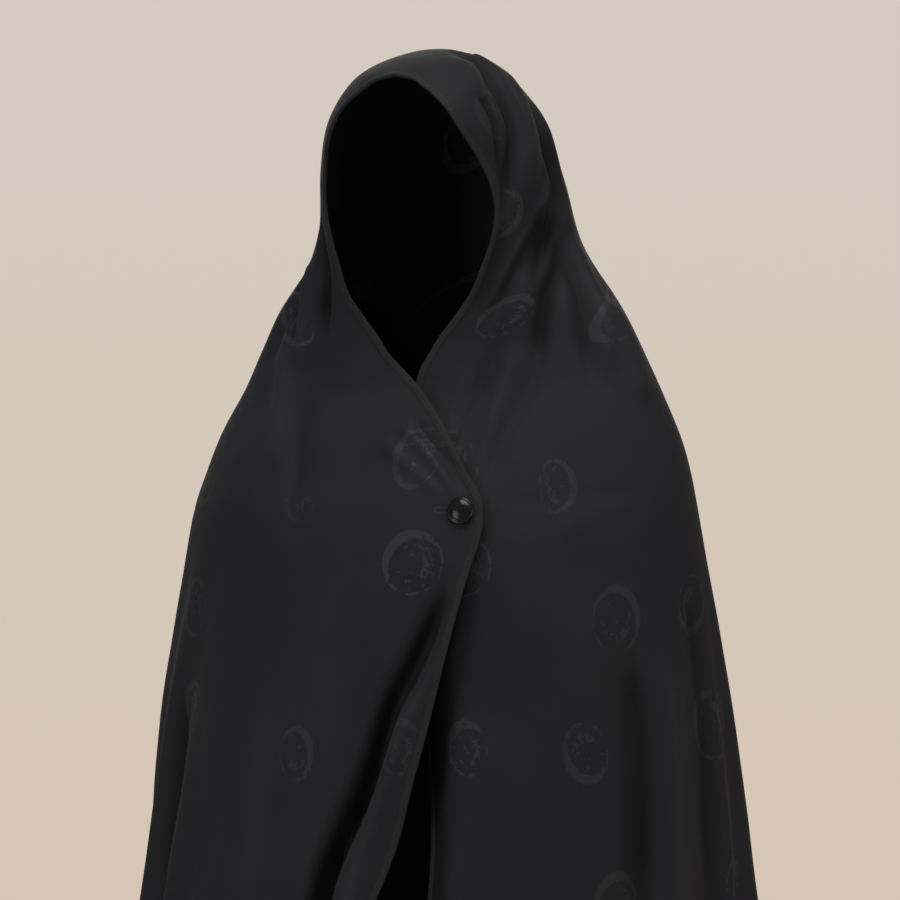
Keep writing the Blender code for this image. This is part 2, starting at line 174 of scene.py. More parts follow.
cloakSize = {
    "thickness": 0.0016, "foreheadDrop": 0.0305, "foreheadReach": 0.074, "earDrop": 0.150,
    "napeDrop": 0.088, "cheekReach": 0.0465, "napeReach": 0.108, "hoodWidth": 0.207,
    "shoulderDrop": 0.379, "shoulderWidth": 0.442, "chestReach": 0.103, "backReach": 0.146,
    "length": 1.56, "hemWidth": 0.760, "hemFront": 0.238, "hemBack": 0.298,
    "faceWidth": 0.151, "necklineDrop": 0.279, "necklineSide": 0.0095,
    "lapDrop": 0.388, "lapReach": 0.093, "underReach": 0.060, "hemReach": 0.130, "lapGap": 0.0048,
    "foldDepth": 0.012, "foldWidth": 0.012, "hangDepth": 0.028,
}
cloakMesh = {
    "columns": 224, "rows": 216, "hoodRows": 138, "hoodEase": 1.2, "frontDense": 0.66,
    "rippleHeight": 0.0016, "crumpleHeight": 0.0005, "flapStand": 0.009, "panelSink": 0.020,
    "panelSinkWidth": 0.034, "lapRoom": 0.006, "leastGap": 0.0024, "edgeHold": 0.007,
    "edgeInset": 0.002, "halfSlack": 1.02,
}
# where down the cloth each of these begins, and over what drop it comes in
dropStarts = {"edgeFree": (0.31, 0.05), "stand": (0.40, 0.16), "room": (0.41, 0.06), "sink": (0.42, 0.14)}
# how fold depth becomes painted shade in grooves and painted light on ridges
creaseSize = {"deep": 0.010, "sharpness": 1.3, "sunk": 0.012, "proud": 0.008, "hangShare": 0.45}
lapTurn = {"meets": 0.12, "blend": 0.25}
# each level: front drop, front reach, back drop, back reach, width
cloakLevels = {
    "forehead": (cloakSize["foreheadDrop"], cloakSize["foreheadReach"],
                 cloakSize["foreheadDrop"], -cloakSize["foreheadReach"], 0.002),
    "ears": (cloakSize["earDrop"], cloakSize["cheekReach"], cloakSize["napeDrop"],
             cloakSize["napeReach"], cloakSize["hoodWidth"]),
    "shoulders": (cloakSize["shoulderDrop"], cloakSize["chestReach"], cloakSize["shoulderDrop"],
                  cloakSize["backReach"], cloakSize["shoulderWidth"]),
    "hem": (cloakSize["length"], cloakSize["hemFront"], cloakSize["length"], cloakSize["hemBack"],
            cloakSize["hemWidth"]),
}
# hoops of cloth between two levels: shares of the way for front drop, front reach, back drop, back
# reach and width
cloakHoops = [
    ("forehead", "ears", 0.00, 0.00, 0.00, 0.00, 0.00),
    ("forehead", "ears", 0.06, -0.03, -0.30, 0.18, 0.27),
    ("forehead", "ears", 0.16, -0.10, -0.47, 0.37, 0.48),
    ("forehead", "ears", 0.35, -0.03, -0.37, 0.63, 0.70),
    ("forehead", "ears", 0.64, 0.60, 0.11, 0.88, 0.90),
    ("ears", "shoulders", 0.00, 0.00, 0.00, 0.00, 0.00),
    ("ears", "shoulders", 0.175, -0.03, 0.21, -0.13, 0.14),
    ("ears", "shoulders", 0.335, -0.035, 0.42, -0.21, 0.43),
    ("ears", "shoulders", 0.44, 0.01, 0.555, 0.00, 0.57),
    ("ears", "shoulders", 0.57, 0.17, 0.675, 0.26, 0.70),
    ("ears", "shoulders", 0.74, 0.56, 0.81, 0.63, 0.86),
    ("shoulders", "hem", 0.00, 0.00, 0.00, 0.00, 0.00),
    ("shoulders", "hem", 0.06, 0.125, 0.06, 0.09, 0.07),
    ("shoulders", "hem", 0.145, 0.235, 0.145, 0.17, 0.17),
    ("shoulders", "hem", 0.275, 0.365, 0.275, 0.29, 0.265),
    ("shoulders", "hem", 0.485, 0.555, 0.485, 0.49, 0.49),
    ("shoulders", "hem", 0.74, 0.78, 0.74, 0.74, 0.735),
    ("shoulders", "hem", 1.00, 1.00, 1.00, 1.00, 1.00),
]
# edges: share of the drop, then over flap and under panel
faceEdge = [
    (0.00, 0.00, 0.00), (0.014, 0.20, 0.20), (0.036, 0.34, 0.33), (0.062, 0.46, 0.45),
    (0.09, 0.57, 0.555), (0.12, 0.66, 0.645), (0.165, 0.755, 0.74), (0.28, 0.93, 0.92),
    (0.43, 1.00, 1.02), (0.54, 0.94, 0.955), (0.61, 0.865, 0.87), (0.71, 0.745, 0.72),
    (0.795, 0.53, 0.51), (0.84, 0.405, 0.39), (0.90, 0.25, 0.27),
]
lapEdge = [(0.00, 0.00, 0.00), (0.36, 0.45, 0.18), (0.67, 0.76, 0.45), (0.86, 0.95, 0.56)]
fallEdge = [
    (0.00, 0.00, 0.60), (0.04, 0.04, 0.64), (0.10, 0.10, 0.72), (0.157, 0.16, 0.84),
    (0.22, 0.25, 1.00), (0.27, 0.355, 0.97), (0.48, 0.64, 1.10), (0.735, 0.865, 1.00),
    (1.00, 1.00, 1.00),
]
# folds from head to hem. Columns: name, height (below zero a groove), spread, lean, how pointed it
# is, how far the cloth beside it stands over it as a pleat, and its line: turns in degrees towards
# the wearer's right with drops in metres
clothFolds = [
    ("browPleat", -0.5, 0.6, 0.0, 1.6, 0.6,
     [(-84, 0.042), (-79, 0.054), (-73, 0.069), (-61, 0.098), (-54, 0.124)]),
    ("crownPleat", -0.66, 0.7, 0.0, 1.6, 0.7,
     [(-158, 0.005), (-135, 0.012), (-106, 0.031), (-92, 0.048), (-79, 0.073), (-64, 0.105), (-51, 0.141),
      (-34, 0.183)]),
    ("crownBand", 0.3, 0.9, 0.0, 2.0, 0,
     [(-139, 0.015), (-119, 0.031), (-109, 0.046), (-86, 0.083), (-71, 0.119), (-51, 0.157)]),
    ("earPleat", -1.05, 0.85, -0.2, 1.6, 0.25,
     [(-130, 0.034), (-105, 0.066), (-97, 0.107), (-91, 0.128), (-76, 0.156), (-60, 0.181), (-40, 0.213)]),
    ("earLine", 0.42, 0.4, 0.3, 1.5, 0,
     [(-89, 0.089), (-83, 0.12), (-66, 0.149), (-50, 0.176), (-28, 0.216), (-19, 0.24)]),
    ("cheekHollow", -0.3, 1.1, 0.0, 1.9, 0,
     [(-52, 0.148), (-45, 0.168), (-36, 0.192), (-27, 0.217), (-18, 0.25)]),
    ("jawGrooveLeft", -0.62, 0.6, 0.2, 1.6, 0,
     [(-79, 0.13), (-60, 0.163), (-38, 0.201), (-24, 0.233)]),
    ("napeGroove", -0.85, 0.85, 0.0, 1.7, 0,
     [(-93, 0.141), (-72, 0.179), (-50, 0.212), (-40, 0.245), (-36, 0.285)]),
    ("neckRidgeLeft", 0.45, 0.8, 0.0, 2.0, 0,
     [(-96, 0.154), (-79, 0.199), (-66, 0.244), (-56, 0.285)]),
    ("longGrooveLeft", -0.55, 0.8, 0.2, 1.6, 0,
     [(-89, 0.162), (-69, 0.205), (-57, 0.245), (-54, 0.3)]),
    ("shoulderRidge", 0.4, 1.1, 0.0, 2.0, 0,
     [(-83, 0.205), (-77, 0.263), (-75, 0.3)]),
    ("neckWedge", -0.92, 0.7, 0.0, 1.8, 0,
     [(68, 0.136), (60, 0.154), (49, 0.18), (40, 0.203), (33, 0.228), (28, 0.262)]),
    ("neckRidgeRight", 0.5, 0.55, 0.0, 1.8, 0,
     [(73, 0.176), (54, 0.201), (42, 0.233), (36, 0.275)]),
    ("neckGrooveRight", -0.95, 0.6, 0.0, 1.6, 0,
     [(76, 0.188), (53, 0.216), (45, 0.256)]),
    ("throatGroove", -0.45, 1.0, 0.2, 1.8, 0,
     [(68, 0.178), (61, 0.218), (55, 0.268)]),
    ("breastRidge", 0.45, 1.0, 0.2, 1.8, 0,
     [(57, 0.207), (43, 0.271), (33, 0.32), (29, 0.36)]),
    ("breastGroove", -0.42, 0.8, 0.1, 1.7, 0,
     [(32, 0.284), (26, 0.317), (22, 0.35), (20, 0.4)]),
    ("flapCreaseGroove", -0.3, 0.42, 0.0, 1.6, 0,
     [(-4, 0.305), (-11, 0.33), (-18, 0.355), (-20, 0.372)]),
    ("flapCreaseRidge", 0.32, 0.42, 0.0, 1.7, 0,
     [(-2, 0.314), (-9, 0.333), (-15, 0.355), (-18, 0.372)]),
    ("flapCreaseLow", 0.22, 0.5, 0.0, 1.8, 0,
     [(2, 0.325), (-5, 0.343), (-13, 0.364), (-16, 0.376)]),
    ("collarGroove", -0.32, 0.55, 0.0, 1.8, 0,
     [(-34, 0.215), (-24, 0.262), (-17, 0.298), (-14, 0.32)]),
    ("chestRidge", 0.3, 0.7, 0.0, 1.9, 0,
     [(-33, 0.245), (-27, 0.285), (-23.5, 0.325), (-22.5, 0.366)]),
    ("chestGroove", -0.3, 0.6, 0.0, 1.8, 0,
     [(-40, 0.255), (-31, 0.3), (-26, 0.335), (-24, 0.371)]),
    ("pullAcross", -0.16, 0.8, 0.0, 1.8, 0,
     [(-25, 0.37), (-37, 0.374), (-53, 0.37), (-73, 0.367)]),
    ("flapRidge", 0.55, 0.8, 0.0, 1.9, 0,
     [(-20, 0.417), (-18, 0.459), (-14, 0.51), (-8, 0.569), (-3, 0.632), (0, 0.685), (3, 0.78), (6, 0.92),
      (9, 1.08)]),
    ("flapValley", -1.9, 0.75, 0.0, 1.8, 0,
     [(-19, 0.422), (-16, 0.461), (-12, 0.5), (-7, 0.54), (-2, 0.601), (4, 0.654), (7, 0.7), (9, 0.8),
      (11, 0.94), (14, 1.1)]),
    ("skirtRidge", 0.4, 0.9, 0.0, 1.8, 0,
     [(38, 0.5), (37, 0.603), (38, 0.669), (39, 0.8)]),
    ("skirtGroove", -0.8, 1.3, 0.0, 1.9, 0,
     [(54, 0.5), (54, 0.591), (55, 0.651), (54, 0.705), (54, 0.85)]),
    ("skirtRidgeFront", 0.22, 1.4, 0.0, 2.0, 0,
     [(22, 0.528), (22, 0.656), (23.5, 0.74)]),
    ("sideGrooveLow", -0.7, 1.2, 0.0, 1.9, 0,
     [(-57, 0.47), (-58, 0.545), (-58, 0.608), (-57, 0.678), (-56, 0.82)]),
    ("sideRidgeLow", 0.45, 0.8, 0.0, 1.8, 0,
     [(-69, 0.484), (-67, 0.578), (-66, 0.671), (-66, 0.8)]),
    ("backGrooveLow", -0.7, 1.1, 0.0, 1.8, 0,
     [(-82, 0.44), (-82, 0.493), (-81, 0.579), (-80, 0.674), (-80, 0.8)]),
]
# painted shade in tight folds: how much darker their colour is made, and how wide in fold widths
foldShades = {
    "browPleat": (0.85, 0.40), "crownPleat": (0.95, 0.45), "earPleat": (0.90, 0.95),
    "neckWedge": (0.95, 0.80), "cheekHollow": (0.50, 1.10), "napeGroove": (0.75, 0.80),
    "neckGrooveRight": (0.75, 0.55), "jawGrooveLeft": (0.45, 0.50), "longGrooveLeft": (0.45, 0.70),
    "breastGroove": (0.35, 0.60), "flapCreaseGroove": (0.35, 0.35),
}
foldRise = {"rise": 0.20, "fade": 0.33, "steps": 80, "wall": 0.0066, "lipSpread": 2.0}
# folds that hang to the hem: share of the way round, how far out, start as a share of the length
rightHangs = [(0.0, 0.25, 0.47), (0.025, -0.9, 0.47), (0.0625, 0.2, 0.40), (0.1, 0.6, 0.27),
              (0.125, -0.8, 0.27), (0.15, 0.7, 0.27)]
leftHangs = [(0.85, 0.7, 0.27), (0.8875, -0.8, 0.27), (0.9375, 0.3, 0.36), (0.975, -0.3, 0.47),
             (1.0, 0.3, 0.47)]
backHangs = {"count": 13, "out": 0.75, "uneven": 0.2, "start": 0.25}


def smoothThrough(places, values, wanted):
    steps = np.diff(places)[:, None]
    slopes = np.diff(values, axis=0) / steps
    middle = (slopes[:-1] * steps[1:] + slopes[1:] * steps[:-1]) / (steps[:-1] + steps[1:])
    tangents = np.vstack([slopes[:1], middle, slopes[-1:]])
    span = np.clip(np.searchsorted(places, wanted, side="right") - 1, 0, len(places) - 2)
    width = (places[span + 1] - places[span])[..., None]
    t = (wanted - places[span])[..., None] / width
    near = t * t * (3 - 2 * t)
    return (values[span] * (1 - near) + values[span + 1] * near
            + tangents[span] * t * (1 - t) * (1 - t) * width + tangents[span + 1] * t * t * (t - 1) * width)


def layHoops():
    rows = []
    for first, second, *shares in cloakHoops:
        low, high = np.array(cloakLevels[first]), np.array(cloakLevels[second])
        rows.append(low + np.array(shares) * (high - low))
    hoops = np.array(rows)
    steps = np.diff(hoops, axis=0)
    front = np.sqrt(steps[:, 0] ** 2 + steps[:, 1] ** 2 + (steps[:, 4] / 4) ** 2)
    back = np.sqrt(steps[:, 2] ** 2 + steps[:, 3] ** 2)
    return hoops, np.concatenate([[0.0], np.cumsum((front + back) / 2)])


def layEdges():
    rows = []
    for drop, over, under in faceEdge:
        down = cloakSize["foreheadDrop"] + drop * (cloakSize["necklineDrop"] - cloakSize["foreheadDrop"])
        rows.append((down, -over * cloakSize["faceWidth"] / 2, under * cloakSize["faceWidth"] / 2))
    for drop, over, under in lapEdge:
        side = cloakSize["necklineSide"]
        rows.append((cloakSize["necklineDrop"] + drop * (cloakSize["lapDrop"] - cloakSize["necklineDrop"]),
                     side + over * (cloakSize["lapReach"] - side),
                     side + under * (cloakSize["underReach"] - side)))
    for drop, over, under in fallEdge:
        rows.append((cloakSize["lapDrop"] + drop * (cloakSize["length"] - cloakSize["lapDrop"]),
                     cloakSize["lapReach"] - over * (cloakSize["lapReach"] + cloakSize["hemReach"]),
                     under * cloakSize["underReach"]))
    return np.array(rows)


hoops, hoopPlaces = layHoops()
edges = layEdges()


def hoopAt(run):
    sizes = smoothThrough(hoopPlaces, hoops, run)
    sides = smoothThrough(edges[:, 0], edges[:, 1:], sizes[..., 0])
    half = np.maximum(sizes[..., 4] / 2, cloakMesh["halfSlack"] * np.abs(sides).max(axis=-1))
    return sizes, half, -np.arcsin(sides[..., 0] / half), 2 * math.pi - np.arcsin(sides[..., 1] / half)


def barePoint(turn, run):
    sizes, half, start, _ = hoopAt(run)
    reach, swing = 1 + np.cos(start), 1 + np.cos(turn)
    y = sizes[..., 3] - (sizes[..., 3] + sizes[..., 1]) / reach * swing
    z = -sizes[..., 2] - (sizes[..., 0] - sizes[..., 2]) / reach * swing
    return np.stack([-half * np.sin(turn), y, z], axis=-1)


def outward(turn, run):
    step = 0.0001
    across = barePoint(turn + step, run) - barePoint(turn - step, run)
    down = barePoint(turn, run + step) - barePoint(turn, run - step)
    normal = np.cross(across, down)
    return normal / np.maximum(np.linalg.norm(normal, axis=-1, keepdims=True), 1e-12)


def lapShares(turn, run):
    _, _, overEnd, end = hoopAt(run)
    underEnd = end - 2 * math.pi
    meets = easeIn((underEnd - overEnd + lapTurn["meets"]) / lapTurn["meets"])
    over = easeIn((underEnd + lapTurn["blend"] - turn) / lapTurn["blend"])
    under = easeIn((turn - 2 * math.pi - overEnd + lapTurn["blend"]) / lapTurn["blend"])
    return meets * np.where(turn < math.pi, over, 0), meets * np.where(turn < math.pi, 0, under)


def foldPath(through):
    # a smooth line on the bare cloth through the fold's places, with the cloth's normal there
    places = np.array(through, float)
    at = np.linspace(0, 1, len(places))
    t = np.linspace(0, 1, foldRise["steps"])
    wanted = smoothThrough(at, places, t)
    runs = np.linspace(0, hoopPlaces[-1], 900)
    points, normals = [], []
    for turn, drop in zip(np.radians(wanted[:, 0]), wanted[:, 1]):
        heights = barePoint(np.full(len(runs), turn), runs)[:, 2]
        last = np.nonzero(heights[:-1] >= min(-drop, heights[:-1].max()))[0].max()
        part = np.clip((heights[last] + drop) / (heights[last] - heights[last + 1]), 0, 1)
        run = runs[last:last + 1] + part * (runs[1] - runs[0])
        points.append(barePoint(np.array([turn]), run)[0])
        normals.append(outward(np.array([turn]), run)[0])
    return np.array(points), np.array(normals), t


def foldLift(points):
    lift = np.zeros(points.shape[:-1])
    shade = np.zeros(points.shape[:-1])
    for name, height, spreadShare, lean, power, lip, through in clothFolds:
        path, normals, t = foldPath(through)
        apart = np.linalg.norm(points[..., None, :] - path, axis=-1)
        nearest = apart.argmin(axis=-1)
        along = np.gradient(path, axis=0)
        along /= np.maximum(np.linalg.norm(along, axis=-1, keepdims=True), 1e-9)
        aside = np.cross(normals, along)
        away = points - path[nearest]
        side = np.sign((away * aside[nearest]).sum(axis=-1))
        fade = easeIn(t[nearest] / foldRise["rise"]) * easeIn((1 - t[nearest]) / foldRise["fade"])
        # what lies along the line is taken out, or the fold is scalloped by its steps
        onward = (away * along[nearest]).sum(axis=-1)
        reach = np.sqrt(np.maximum(apart.min(axis=-1) ** 2 - onward ** 2, 0))
        width = spreadShare * cloakSize["foldWidth"]
        profile = np.exp(-(reach / (width * (1 + lean * side))) ** power)
        if lip:
            wall = np.exp(-(reach / foldRise["wall"]) ** 2)
            over = np.exp(-(reach / (width * foldRise["lipSpread"])) ** 2)
            profile = np.where(side > 0, wall - lip * (over - wall), profile)
        lift += height * cloakSize["foldDepth"] * fade * profile
        strength, wide = foldShades.get(name, (0, 1))
        darkness = np.exp(-(reach / (wide * cloakSize["foldWidth"])) ** 2)
        shade = np.maximum(shade, strength * fade * darkness)
    return lift, shade


def hangCrests():
    rows = list(rightHangs)
    pitch = (leftHangs[0][0] - rightHangs[-1][0]) / (backHangs["count"] + 1)
    for i in range(backHangs["count"] + 1):
        valley = rightHangs[-1][0] + (i + 0.5) * pitch
        groove = -backHangs["out"] - backHangs["uneven"] * math.cos(1.7 * i)
        rows.append((valley, groove, backHangs["start"]))
        if i < backHangs["count"]:
            crest = backHangs["out"] + backHangs["uneven"] * math.sin(2.4 * i)
            rows.append((valley + pitch / 2, crest, backHangs["start"]))
    return np.array(rows + leftHangs)


def hangLift(share, drop):
    crests = hangCrests()
    span = np.clip(np.searchsorted(crests[:, 0], share, side="right") - 1, 0, len(crests) - 2)
    way = easeIn((share - crests[span, 0]) / (crests[span + 1, 0] - crests[span, 0]))[..., None]
    out, start = np.moveaxis(crests[span, 1:] * (1 - way) + crests[span + 1, 1:] * way, -1, 0)
    return cloakSize["hangDepth"] * out * np.clip((drop / cloakSize["length"] - start) / (1 - start), 0, 1)


def rippleLift(bare):
    # slow ripples that run down the cloth, and a finer crumple on them
    flat = bare.reshape(-1, 3)
    lift = np.empty(len(flat))
    for i, (x, y, z) in enumerate(flat):
        slow = noise.noise(Vector((x * 14, y * 14, z * 3.5)))
        fine = noise.noise(Vector((x * 45 + 9, y * 45, z * 18)))
        lift[i] = cloakMesh["rippleHeight"] * slow + cloakMesh["crumpleHeight"] * fine
    return lift.reshape(bare.shape[:-1])


def comeIn(drop, name):
    start, over = dropStarts[name]
    return easeIn((drop - start) / over)


def drapedPoint(share, run):
    _, half, start, end = hoopAt(run)
    turn = start + share * (end - start)
    bare = barePoint(turn, run)
    drop = -bare[..., 2]
    over, under = lapShares(turn, run)
    fromEdge = np.minimum(turn - start, end - turn) * half
    # the edge round the face stays smooth, and folds begin a little inside it
    free, blend = dropStarts["edgeFree"]
    inside = easeIn((fromEdge - cloakMesh["edgeInset"]) / cloakMesh["edgeHold"])
    held = 1 - easeIn((free - drop) / blend) * (1 - inside)
    folded, shade = foldLift(bare)
    folded = folded * held
    hanging = hangLift(share, drop)
    lift = folded + hanging + rippleLift(bare)
    # below the button the flap falls clear, and the panel's edge behind it turns in
    stand = cloakMesh["flapStand"] * comeIn(drop, "stand")
    room = cloakMesh["lapRoom"] * comeIn(drop, "room")
    sink = cloakMesh["panelSink"] * comeIn(drop, "sink") * (turn > math.pi)
    sink = sink * np.clip(1 - (end - turn) * half / cloakMesh["panelSinkWidth"], 0, 1) ** 1.5
    gap = cloakSize["lapGap"]
    lowest = cloakMesh["leastGap"] - gap - stand - room
    lift = lift * (1 - over - under) + np.maximum(lift, lowest) * over + np.minimum(lift, 0) * under
    lift += gap / 2 * (over - under) + stand * over - room * under - sink
    # painted shade in grooves and painted light on ridges, read from the fold heights
    height = folded + creaseSize["hangShare"] * hanging
    deep = np.clip(-height / creaseSize["deep"], 0, 1) ** creaseSize["sharpness"]
    # painted shadow: the panel edge turned in behind the flap is darkened too, as are the listed tight
    # folds
    deep = np.maximum.reduce([deep, np.clip(sink / creaseSize["sunk"], 0, 1), shade])
    proud = np.clip(height / creaseSize["proud"], 0, 1)
    return bare + outward(turn, run) * lift[..., None], deep - proud


def layCloth():
    # a flat grid whose own x and y say which share and row of the cloth each corner is
    clearSelection()
    bpy.ops.mesh.primitive_grid_add(x_subdivisions=cloakMesh["columns"], y_subdivisions=cloakMesh["rows"],
                                    size=1, location=(0, 0, 0))
    cloth = nameNew("drapedCloak")
    corners = np.empty(len(cloth.data.vertices) * 3)
    cloth.data.vertices.foreach_get("co", corners)
    corners = corners.reshape(-1, 3)
    wide = len(np.unique(corners[:, 0].round(6)))
    high = len(np.unique(corners[:, 1].round(6)))
    column = np.rint((corners[:, 0] + 0.5) * (wide - 1)).astype(int)
    row = np.rint((0.5 - corners[:, 1]) * (high - 1)).astype(int)
    across = np.linspace(0, 1, wide)
    shares = across - cloakMesh["frontDense"] * np.sin(2 * math.pi * across) / (2 * math.pi)
    shoulders = hoopPlaces[[h[:2] for h in cloakHoops].index(("shoulders", "hem"))]
    hood = shoulders * np.linspace(0, 1, cloakMesh["hoodRows"] + 1) ** cloakMesh["hoodEase"]
    body = np.linspace(shoulders, hoopPlaces[-1], high - cloakMesh["hoodRows"])
    runs = np.concatenate([hood, body[1:]])
    shareGrid, runGrid = np.meshgrid(shares, runs)
    points, crease = drapedPoint(shareGrid, runGrid)
    points[0] = (0, -cloakSize["foreheadReach"], -cloakSize["foreheadDrop"])
    cloth.data.vertices.foreach_set("co", points[row, column].ravel())
    cloth.data.update()
    return cloth, points, crease, shareGrid, runGrid, column, row


def layClothMap(cloth, shareGrid, runGrid, column, row):
    # U runs round the cloth from the middle of the front, V down it, both in metres
    _, _, start, end = hoopAt(runGrid)
    turn = start + shareGrid * (end - start)
    bare = barePoint(turn, runGrid)
    steps = np.linalg.norm(np.diff(bare, axis=1), axis=-1)
    length = np.concatenate([np.zeros((len(bare), 1)), np.cumsum(steps, axis=1)], axis=1)
    rightZero = np.array([np.interp(0, *hoop) for hoop in zip(turn, length)])[:, None]
    leftZero = np.array([np.interp(2 * math.pi, *hoop) for hoop in zip(turn, length)])[:, None]
    rightU, leftU = rightZero - length, leftZero - length
    uv = cloth.data.uv_layers[0]
    uv.name = "clothMap"
    middle = (column.max() + 1) / 2
    coords = np.zeros((len(cloth.data.loops), 2))
    for face in cloth.data.polygons:
        cols = [column[v] for v in face.vertices]
        table = rightU if (min(cols) + max(cols)) / 2 < middle else leftU
        for loop, vertex in zip(face.loop_indices, face.vertices):
            coords[loop] = table[row[vertex], column[vertex]], -runGrid[row[vertex], 0]
    uv.data.foreach_set("uv", coords.ravel())


cloth, points, crease, shareGrid, runGrid, column, row = layCloth()
layClothMap(cloth, shareGrid, runGrid, column, row)
pickOnly(cloth)
bpy.ops.object.mode_set(mode="EDIT")
bpy.ops.mesh.select_all(action="SELECT")
bpy.ops.mesh.remove_doubles(threshold=0.00005)
bpy.ops.mesh.normals_make_consistent(inside=False)
bpy.ops.object.mode_set(mode="OBJECT")
print("cloth is draped:", len(cloth.data.polygons), "faces")

# ---- where the button sits: the solid one gives its axis and its back

buttonSize = {"radius": 0.011, "height": 0.0052, "collar": 0.30, "rimBack": 0.24, "segments": 64}
holeSize = {"length": 0.023, "height": 0.0034, "deep": 0.0046, "fromAxis": 0.0026, "probe": 0.01}


def readButtonSeat():
    corners = np.array([v.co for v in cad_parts["button"].data.vertices])
    centre = corners.mean(axis=0)
    axis = np.linalg.svd(corners - centre, full_matrices=False)[2][2]
    if axis[1] > 0:
        axis = -axis
    back = Vector(centre + axis * ((corners - centre) @ axis).min())
    axis = Vector(axis).normalized()
    level = Vector((0, 0, 1)).cross(axis).normalized()
    if level.x < 0:
        level.negate()
    return back, axis, level, axis.cross(level)


def bareTree(obj):
    shape = bmesh.new()
    shape.from_mesh(obj.data)
    tree = BVHTree.FromBMesh(shape)
    shape.free()
    return tree


def seatFrame(centre):
    return Matrix.Translation(centre) @ Matrix((buttonLevel, buttonUp, buttonAxis)).transposed().to_4x4()


buttonBack, buttonAxis, buttonLevel, buttonUp = readButtonSeat()
layers = bareTree(cloth)
flapPoint = layers.ray_cast(buttonBack + buttonAxis * holeSize["probe"], -buttonAxis)[0]
rimBack = buttonSize["rimBack"] * buttonSize["height"]
for share, back in ((buttonSize["collar"], 0), (1.0, rimBack)):
    clears = []
    for angle in np.linspace(0, 2 * math.pi, 24):
        aside = buttonLevel * math.cos(angle) + buttonUp * math.sin(angle)
        start = buttonBack + aside * share * buttonSize["radius"] + buttonAxis * holeSize["probe"]
        clears.append(layers.ray_cast(start, -buttonAxis)[3] - holeSize["probe"] + back)
    clear = (min(clears) - cloakSize["thickness"] / 2) * 1000
    print("button stands", round(clear, 2), "mm off the cloth at", share, "of its radius")

# ---- cloth wall and buttonhole

pickOnly(cloth)
wall = cloth.modifiers.new("wall", "SOLIDIFY")
wall.thickness = cloakSize["thickness"]
wall.offset = 0
bpy.ops.object.modifier_apply(modifier="wall")
clearSelection()
bpy.ops.mesh.primitive_cube_add(size=1, location=(0, 0, 0))
slotBlock = nameNew("slotBlock")
bpy.ops.object.mode_set(mode="EDIT")
bpy.ops.transform.resize(value=(holeSize["length"], holeSize["height"], holeSize["deep"]))
bpy.ops.transform.translate(value=(holeSize["fromAxis"] - holeSize["length"] / 2, 0, 0))
bpy.ops.object.mode_set(mode="OBJECT")
slotBlock.data.transform(seatFrame(flapPoint))
pickOnly(cloth)
cut = cloth.modifiers.new("cut", "BOOLEAN")
cut.operation = "DIFFERENCE"
cut.solver = "EXACT"
cut.object = slotBlock
bpy.ops.object.modifier_apply(modifier="cut")
bpy.data.objects.remove(slotBlock, do_unlink=True)
cloth.data.materials.clear()
smoothShade(cloth, 60)


def keepCrease():
    # how much painted shade each corner gets, in a fold or beside the flap, above zero, or how much painted
    # light on a ridge, below it
    tree = KDTree(points.shape[0] * points.shape[1])
    for i, spot in enumerate(points.reshape(-1, 3)):
        tree.insert(spot, i)
    tree.balance()
    flat = crease.ravel()
    depth = cloth.data.attributes.new("crease", "FLOAT", "POINT")
    depth.data.foreach_set("value", [flat[tree.find(v.co)[1]] for v in cloth.data.vertices])


keepCrease()
print("cloth wall and buttonhole:", len(cloth.data.polygons), "faces")

# ---- rolled hem round the whole sheet

hemSize = {"width": 0.0058, "proud": 0.0006, "beyond": 0.0007}


def layHemLine():
    # up the over flap, round the face, down the under panel and back along the bottom
    high, wide = points.shape[:2]
    order = ([(i, 0) for i in range(high - 1, 0, -1)] + [(0, 0)] + [(i, wide - 1) for i in range(1, high)]
             + [(high - 1, j) for j in range(wide - 2, 0, -1)])
    normals = np.cross(np.gradient(points, axis=1), np.gradient(points, axis=0))
    normals /= np.maximum(np.linalg.norm(normals, axis=-1, keepdims=True), 1e-12)
    normals[:3] = (normals[3, 0] + normals[3, -1]) / 2
    line = np.array([points[i, j] for i, j in order])
    up = np.array([normals[i, j] for i, j in order])
    for _ in range(2):
        up = (np.roll(up, 1, axis=0) + up * 2 + np.roll(up, -1, axis=0)) / 4
    up /= np.linalg.norm(up, axis=1, keepdims=True)
    along = np.roll(line, -1, axis=0) - np.roll(line, 1, axis=0)
    inward = np.cross(up, along)
    inward /= np.linalg.norm(inward, axis=1, keepdims=True)
    return line, up, inward


